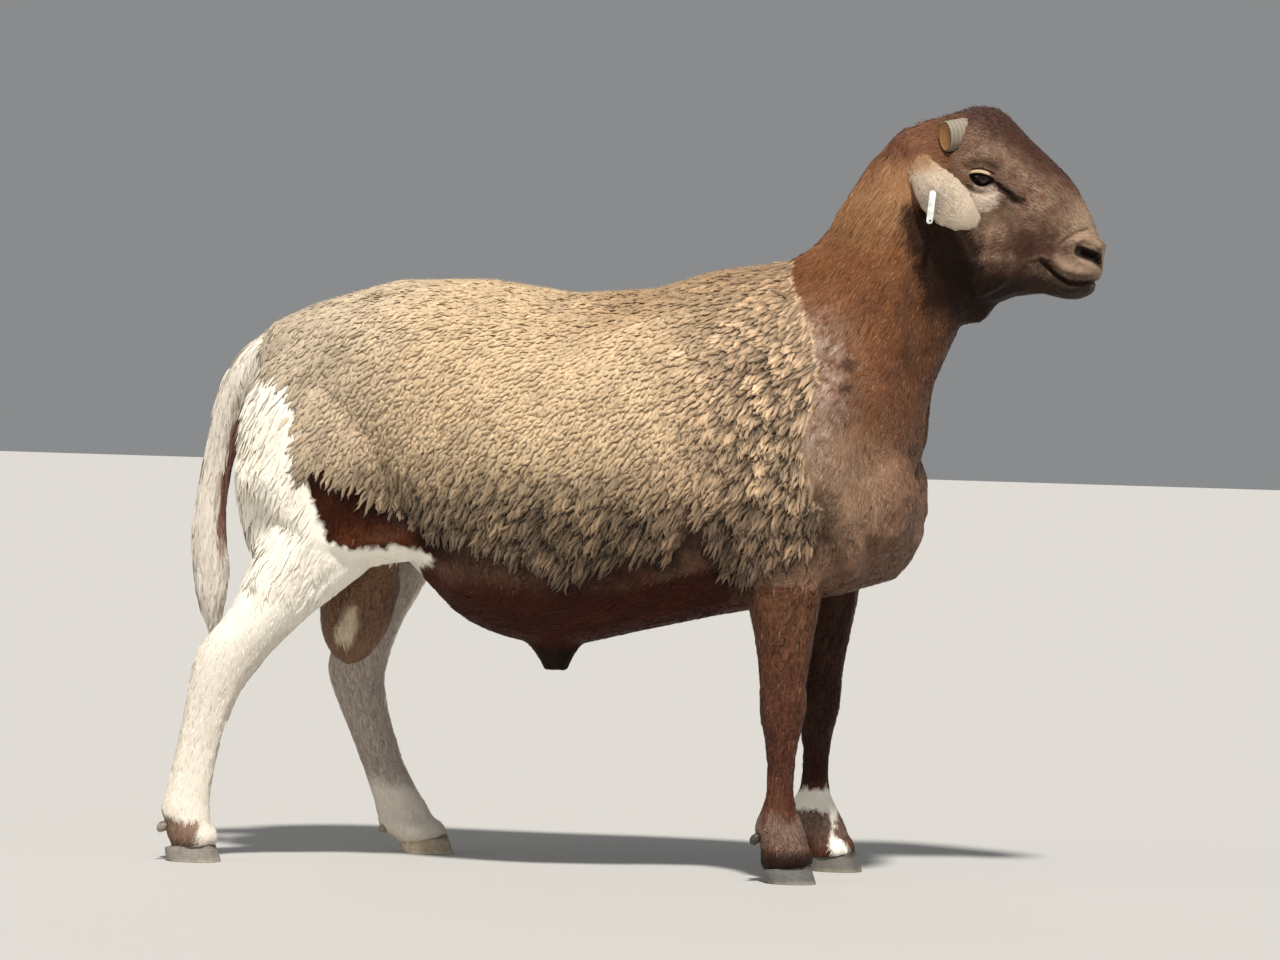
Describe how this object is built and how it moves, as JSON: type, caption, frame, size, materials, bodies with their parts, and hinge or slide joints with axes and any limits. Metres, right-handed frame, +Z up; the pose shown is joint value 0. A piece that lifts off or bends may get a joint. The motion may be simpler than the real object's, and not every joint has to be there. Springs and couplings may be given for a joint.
{
  "type": "shorn sheep",
  "caption": "Life-size standing ram with short shorn fleece, brown hair on head, neck and forelegs, white hindquarters and tail, cut horn stumps and a blank ear tag.",
  "frame": {"origin": "on the ground, at the middle of the box round the whole animal", "axes": "+X towards the nose, +Y towards the left side of the ram, +Z up"},
  "size_m": [1.1173, 0.3854, 0.9403],
  "materials": {
    "fleece": "dense short fleece, matt",
    "brown_hair": "short smooth hair with a slight sheen",
    "white_hair": "coarse off-white hair",
    "pale_ear": "thin pale hair on skin",
    "eye": "wet gloss",
    "horn": "ridged horn with a sawn end",
    "claw": "dry hoof horn",
    "dewclaw": "dry hoof horn",
    "tag": "moulded plastic"
  },
  "bodies": {
    "root": {"trunk": "fleece", "neck": "brown_hair", "head": "brown_hair", "tail": "white_hair", "scrotum": "brown_hair", "sheath": "brown_hair", "right_foreleg": "brown_hair", "left_foreleg": "brown_hair", "right_hindleg": "white_hair", "left_hindleg": "white_hair", "right_ear": "pale_ear", "right_eye": "eye", "right_horn": "horn", "left_ear": "pale_ear", "left_eye": "eye", "left_horn": "horn", "right_fore_right_claw": "claw", "right_fore_right_dewclaw": "dewclaw", "right_fore_left_claw": "claw", "right_fore_left_dewclaw": "dewclaw", "left_fore_right_claw": "claw", "left_fore_right_dewclaw": "dewclaw", "left_fore_left_claw": "claw", "left_fore_left_dewclaw": "dewclaw", "right_hind_right_claw": "claw", "right_hind_right_dewclaw": "dewclaw", "right_hind_left_claw": "claw", "right_hind_left_dewclaw": "dewclaw", "left_hind_right_claw": "claw", "left_hind_right_dewclaw": "dewclaw", "left_hind_left_claw": "claw", "left_hind_left_dewclaw": "dewclaw", "ear_tag": "tag"}
  },
  "joints": []
}
